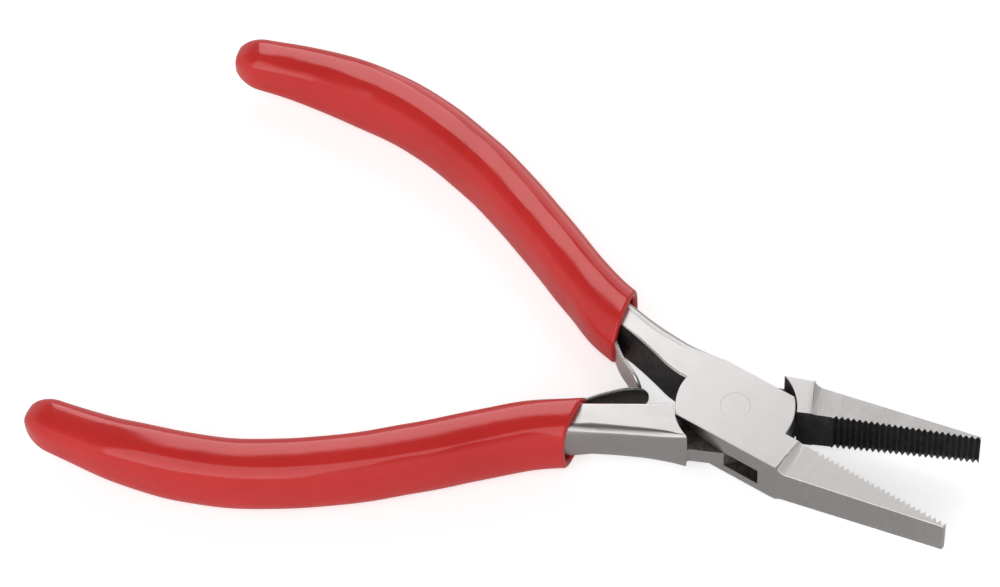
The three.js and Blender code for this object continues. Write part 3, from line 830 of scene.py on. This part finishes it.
def softbox(name, azimuth, elevation, width, height, power):
    """A rectangular light that faces the joint from a compass direction, 0 being behind the tool and
    90 on its jaws' side: sine and cosine of the azimuth times the cosine of the elevation."""
    data = bpy.data.lights.new(name, "AREA")
    data.shape, data.size, data.size_y, data.energy = "RECTANGLE", width, height, power
    light = bpy.data.objects.new(name, data)
    bpy.context.collection.objects.link(light)
    a, e = math.radians(azimuth), math.radians(elevation)
    away = mathutils.Vector((math.sin(a) * math.cos(e), math.cos(a) * math.cos(e), math.sin(e)))
    light.location = LIGHT_DISTANCE * away
    light.rotation_euler = away.to_track_quat("Z", "Y").to_euler()
    print(name, "at", [round(x, 2) for x in light.location])


softbox("key_light", -32.5, 40.5, 0.34, 0.59, 1.7)
softbox("back_light", 2, 22, 0.77, 0.83, 2.2)
softbox("front_light", 185, 39, 1.02, 1.45, 6.6)

# %% Table
TABLE_HALF = 3.0
TABLE_GLOW = 0.6
BELOW = 0.0001  # gap under the lowest point, so that no two faces lie in one plane
corners = TABLE_HALF * np.array([(-1, -1, 0), (1, -1, 0), (1, 1, 0), (-1, 1, 0)])
corners[:, 2] = cad_box[0][2] - BELOW
table_mesh = bpy.data.meshes.new("table")
table_mesh.from_pydata(corners.tolist(), [], [(0, 1, 2, 3)])
table = bpy.data.objects.new("table", table_mesh)
bpy.context.collection.objects.link(table)
paper, tree, shader = material("pale_table", 0.9, 0.0, Specular_IOR_Level=0.0,
                               Base_Color=(0.82, 0.82, 0.82, 1), Emission_Color=(1, 1, 1, 1))
seen = node(tree, "ShaderNodeLightPath").outputs["Is Camera Ray"]
tree.links.new(arithmetic(tree, "MULTIPLY", seen, TABLE_GLOW), shader["Emission Strength"])
table_mesh.materials.append(paper)
print("table at height", round(float(corners[0, 2]), 5))

# %% Room
AT_HORIZON, OVERHEAD = 0.7, 0.12  # brightness
LOW, HIGH = 0.1, 0.8  # upward parts of the directions between which it falls off
world = bpy.data.worlds.new("studio")
bpy.context.scene.world = world
world.use_nodes = True
room = world.node_tree
direction = node(room, "ShaderNodeTexCoord").outputs["Generated"]
height = node(room, "ShaderNodeSeparateXYZ", {"Vector": direction}).outputs["Z"]
glow = between(room, height, LOW, HIGH, AT_HORIZON, OVERHEAD)
room.links.new(glow, room.nodes["Background"].inputs["Strength"])
room.nodes["Background"].inputs["Color"].default_value = (1, 1, 1, 1)
print(world.name, "room falls from", AT_HORIZON, "to", OVERHEAD)

# %% [markdown]
# ## The camera
#
# A long lens, high above the open handles, looks down across the joint. Its three directions are
# given as they are, because a camera that is turned a little about its own line of sight can't be
# placed by a target alone. The Standard view keeps white paper white.

# %% Camera
FOCAL_LENGTH, SENSOR_WIDTH = 147.4, 36  # millimetres
STANDPOINT = (0.1086, -0.3007, 0.46125)
bpy.context.scene.view_settings.view_transform = "Standard"
lens = bpy.data.cameras.new("view")
lens.lens, lens.sensor_width = FOCAL_LENGTH, SENSOR_WIDTH
camera = bpy.data.objects.new("view", lens)
right = np.array([0.92227, 0.38489, -0.03584])
upward = np.array([-0.28879, 0.74767, 0.59793])
forward = np.array([-0.25694, 0.54110, -0.80070])
turn = np.eye(4)
turn[:3, 0], turn[:3, 1], turn[:3, 2] = right, upward, -forward
turn[:3, 3] = STANDPOINT
camera.matrix_world = mathutils.Matrix(turn.tolist())
bpy.context.collection.objects.link(camera)
bpy.context.scene.camera = camera
print("camera is", round(float(np.linalg.norm(STANDPOINT)), 3), "m from the joint")
